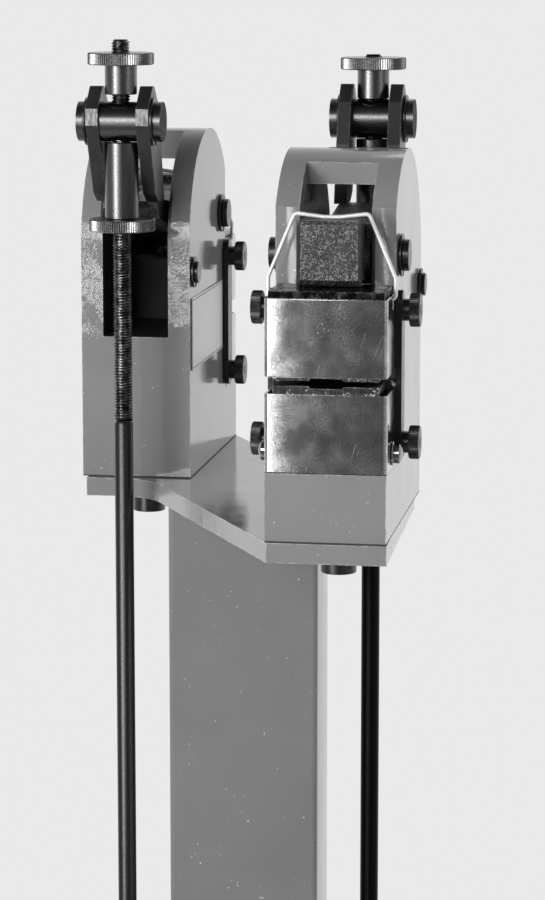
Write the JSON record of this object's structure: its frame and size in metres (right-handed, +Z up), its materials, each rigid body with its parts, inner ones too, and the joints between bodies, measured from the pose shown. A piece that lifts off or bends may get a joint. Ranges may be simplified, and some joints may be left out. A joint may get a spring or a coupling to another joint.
{
  "type": "shrinker stretcher",
  "caption": "Foot-operated shrinker and stretcher with opposed jaw heads on a post, each pressed by a lever, a pull rod and a see-saw pedal.",
  "frame": {"origin": "centre of the base plate's underside, on the post's axis", "axes": "+Z up the post; the stretcher head's jaws look toward -Y at +X, the shrinker head's toward +Y at -X"},
  "size_m": [0.48, 0.6198, 1.0595],
  "materials": {
    "grey_paint": "gloss",
    "black_steel": "satin",
    "plated_steel": "satin",
    "brushed_sheet": "satin",
    "plate_sheet": "satin",
    "rough_iron": "rough",
    "tread_steel": "satin",
    "black_plate": "satin",
    "hard_steel": "ground",
    "oiled_steel": "satin",
    "dark_rod": "satin",
    "blued_steel": "satin"
  },
  "bodies": {
    "stand": {"base_plate": "grey_paint", "post": "grey_paint", "base_gussets": "grey_paint", "top_plate": "grey_paint", "pedal_brackets": "grey_paint", "pedal_shafts": "plated_steel", "spring_anchors": "grey_paint", "head_bolts": "black_steel", "keeper_straps": "plated_steel", "thumb_screws": "black_steel", "cover_screws": "plated_steel", "pivot_pins": "blued_steel", "stub_pins": "blued_steel", "pin_clips": "blued_steel", "name_plates": "plate_sheet", "stretch_body": "grey_paint", "stretch_block": "oiled_steel", "stretch_cover_lower": "brushed_sheet", "stretch_cover_upper": "brushed_sheet", "stretch_spring": "plated_steel", "shrink_body": "grey_paint", "shrink_block": "oiled_steel", "shrink_cover_lower": "brushed_sheet", "shrink_cover_upper": "brushed_sheet", "shrink_spring": "plated_steel"},
    "stretch_pedal_arm": {"stretch_pedal": "grey_paint", "stretch_pad": "tread_steel"},
    "stretch_lever": {"stretch_lever_plates": "black_plate", "stretch_nose": "rough_iron"},
    "stretch_rod_unit": {"stretch_trunnion": "blued_steel", "stretch_trunnion_clips": "blued_steel", "stretch_rod": "dark_rod", "stretch_clevis": "dark_rod", "stretch_clevis_pin": "plated_steel"},
    "stretch_upper_nut": {"stretch_nut_upper": "blued_steel"},
    "stretch_lower_nut": {"stretch_nut_lower": "blued_steel"},
    "stretch_carrier_unit": {"stretch_carrier": "oiled_steel", "stretch_bail": "plated_steel"},
    "stretch_jaw_low_a_unit": {"stretch_jaw_low_a": "hard_steel"},
    "stretch_jaw_low_b_unit": {"stretch_jaw_low_b": "hard_steel"},
    "stretch_jaw_up_a_unit": {"stretch_jaw_up_a": "hard_steel"},
    "stretch_jaw_up_b_unit": {"stretch_jaw_up_b": "hard_steel"},
    "shrink_pedal_arm": {"shrink_pedal": "grey_paint", "shrink_pad": "tread_steel"},
    "shrink_lever": {"shrink_lever_plates": "black_plate", "shrink_nose": "rough_iron"},
    "shrink_rod_unit": {"shrink_trunnion": "blued_steel", "shrink_trunnion_clips": "blued_steel", "shrink_rod": "dark_rod", "shrink_clevis": "dark_rod", "shrink_clevis_pin": "plated_steel"},
    "shrink_upper_nut": {"shrink_nut_upper": "blued_steel"},
    "shrink_lower_nut": {"shrink_nut_lower": "blued_steel"},
    "shrink_carrier_unit": {"shrink_carrier": "oiled_steel", "shrink_bail": "plated_steel"},
    "shrink_jaw_low_a_unit": {"shrink_jaw_low_a": "hard_steel"},
    "shrink_jaw_low_b_unit": {"shrink_jaw_low_b": "hard_steel"},
    "shrink_jaw_up_a_unit": {"shrink_jaw_up_a": "hard_steel"},
    "shrink_jaw_up_b_unit": {"shrink_jaw_up_b": "hard_steel"}
  },
  "joints": [
    {"name": "stretch_pedal_swing", "type": "hinge", "parent": "stand", "child": "stretch_pedal_arm", "pos_m": [0.064, -0.0208, 0.13], "axis": [1, 0, 0], "range_deg": [0, 22], "stiffness_Nm_per_rad": 6, "springref_deg": -51.57, "deforming": ["stretch_spring"]},
    {"name": "stretch_lever_swing", "type": "hinge", "parent": "stand", "child": "stretch_lever", "pos_m": [0.064, -0.108, 0.957], "axis": [1, 0, 0], "range_deg": [0, 7.52]},
    {"name": "stretch_rod_tilt", "type": "hinge", "parent": "stretch_lever", "child": "stretch_rod_unit", "pos_m": [0.064, 0.0238, 1.0165], "axis": [1, 0, 0], "range_deg": [-7.13, 0]},
    {"name": "stretch_carrier_slide", "type": "slide", "parent": "stand", "child": "stretch_carrier_unit", "axis": [0, 0, -1], "range_m": [0, 0.0036]},
    {"name": "stretch_upper_nut_turn", "type": "hinge", "parent": "stretch_rod_unit", "child": "stretch_upper_nut", "pos_m": [0.064, 0.0238, 1.035], "axis": [0, 0, 1], "continuous": true},
    {"name": "stretch_lower_nut_turn", "type": "hinge", "parent": "stretch_rod_unit", "child": "stretch_lower_nut", "pos_m": [0.064, 0.0238, 0.98], "axis": [0, 0, 1], "continuous": true},
    {"name": "stretch_jaw_low_a_slide", "type": "slide", "parent": "stand", "child": "stretch_jaw_low_a_unit", "axis": [0.8944, 0, -0.4472], "range_m": [0, 0.00224]},
    {"name": "stretch_jaw_low_b_slide", "type": "slide", "parent": "stand", "child": "stretch_jaw_low_b_unit", "axis": [-0.8944, 0, -0.4472], "range_m": [0, 0.00224]},
    {"name": "stretch_jaw_up_a_slide", "type": "slide", "parent": "stretch_carrier_unit", "child": "stretch_jaw_up_a_unit", "axis": [0.8944, 0, 0.4472], "range_m": [0, 0.00224]},
    {"name": "stretch_jaw_up_b_slide", "type": "slide", "parent": "stretch_carrier_unit", "child": "stretch_jaw_up_b_unit", "axis": [-0.8944, 0, 0.4472], "range_m": [0, 0.00224]},
    {"name": "shrink_pedal_swing", "type": "hinge", "parent": "stand", "child": "shrink_pedal_arm", "pos_m": [-0.064, 0.0208, 0.13], "axis": [-1, 0, 0], "range_deg": [0, 22], "stiffness_Nm_per_rad": 6, "springref_deg": -51.57, "deforming": ["shrink_spring"]},
    {"name": "shrink_lever_swing", "type": "hinge", "parent": "stand", "child": "shrink_lever", "pos_m": [-0.064, 0.108, 0.957], "axis": [-1, 0, 0], "range_deg": [0, 7.52]},
    {"name": "shrink_rod_tilt", "type": "hinge", "parent": "shrink_lever", "child": "shrink_rod_unit", "pos_m": [-0.064, -0.0238, 1.0165], "axis": [-1, 0, 0], "range_deg": [-7.13, 0]},
    {"name": "shrink_carrier_slide", "type": "slide", "parent": "stand", "child": "shrink_carrier_unit", "axis": [0, 0, -1], "range_m": [0, 0.0036]},
    {"name": "shrink_upper_nut_turn", "type": "hinge", "parent": "shrink_rod_unit", "child": "shrink_upper_nut", "pos_m": [-0.064, -0.0238, 1.035], "axis": [0, 0, 1], "continuous": true},
    {"name": "shrink_lower_nut_turn", "type": "hinge", "parent": "shrink_rod_unit", "child": "shrink_lower_nut", "pos_m": [-0.064, -0.0238, 0.98], "axis": [0, 0, 1], "continuous": true},
    {"name": "shrink_jaw_low_a_slide", "type": "slide", "parent": "stand", "child": "shrink_jaw_low_a_unit", "axis": [0.8944, 0, -0.4472], "range_m": [0, 0.00224]},
    {"name": "shrink_jaw_low_b_slide", "type": "slide", "parent": "stand", "child": "shrink_jaw_low_b_unit", "axis": [-0.8944, 0, -0.4472], "range_m": [0, 0.00224]},
    {"name": "shrink_jaw_up_a_slide", "type": "slide", "parent": "shrink_carrier_unit", "child": "shrink_jaw_up_a_unit", "axis": [0.8944, 0, 0.4472], "range_m": [0, 0.00224]},
    {"name": "shrink_jaw_up_b_slide", "type": "slide", "parent": "shrink_carrier_unit", "child": "shrink_jaw_up_b_unit", "axis": [-0.8944, 0, 0.4472], "range_m": [0, 0.00224]}
  ],
  "couplings": [
    {"joint": "stretch_jaw_low_a_slide", "follows": "stretch_pedal_swing", "m_per_rad": 0.0058235},
    {"joint": "stretch_jaw_low_b_slide", "follows": "stretch_pedal_swing", "m_per_rad": 0.0058235},
    {"joint": "stretch_jaw_up_a_slide", "follows": "stretch_pedal_swing", "m_per_rad": 0.0058235},
    {"joint": "stretch_jaw_up_b_slide", "follows": "stretch_pedal_swing", "m_per_rad": 0.0058235},
    {"joint": "stretch_lever_swing", "follows": "stretch_pedal_swing", "ratio": 0.34099},
    {"joint": "stretch_rod_tilt", "follows": "stretch_pedal_swing", "ratio": -0.32333},
    {"joint": "stretch_carrier_slide", "follows": "stretch_pedal_swing", "m_per_rad": 0.0093757},
    {"joint": "shrink_jaw_low_a_slide", "follows": "shrink_pedal_swing", "m_per_rad": 0.0058235},
    {"joint": "shrink_jaw_low_b_slide", "follows": "shrink_pedal_swing", "m_per_rad": 0.0058235},
    {"joint": "shrink_jaw_up_a_slide", "follows": "shrink_pedal_swing", "m_per_rad": 0.0058235},
    {"joint": "shrink_jaw_up_b_slide", "follows": "shrink_pedal_swing", "m_per_rad": 0.0058235},
    {"joint": "shrink_lever_swing", "follows": "shrink_pedal_swing", "ratio": 0.34099},
    {"joint": "shrink_rod_tilt", "follows": "shrink_pedal_swing", "ratio": -0.32333},
    {"joint": "shrink_carrier_slide", "follows": "shrink_pedal_swing", "m_per_rad": 0.0093757}
  ]
}
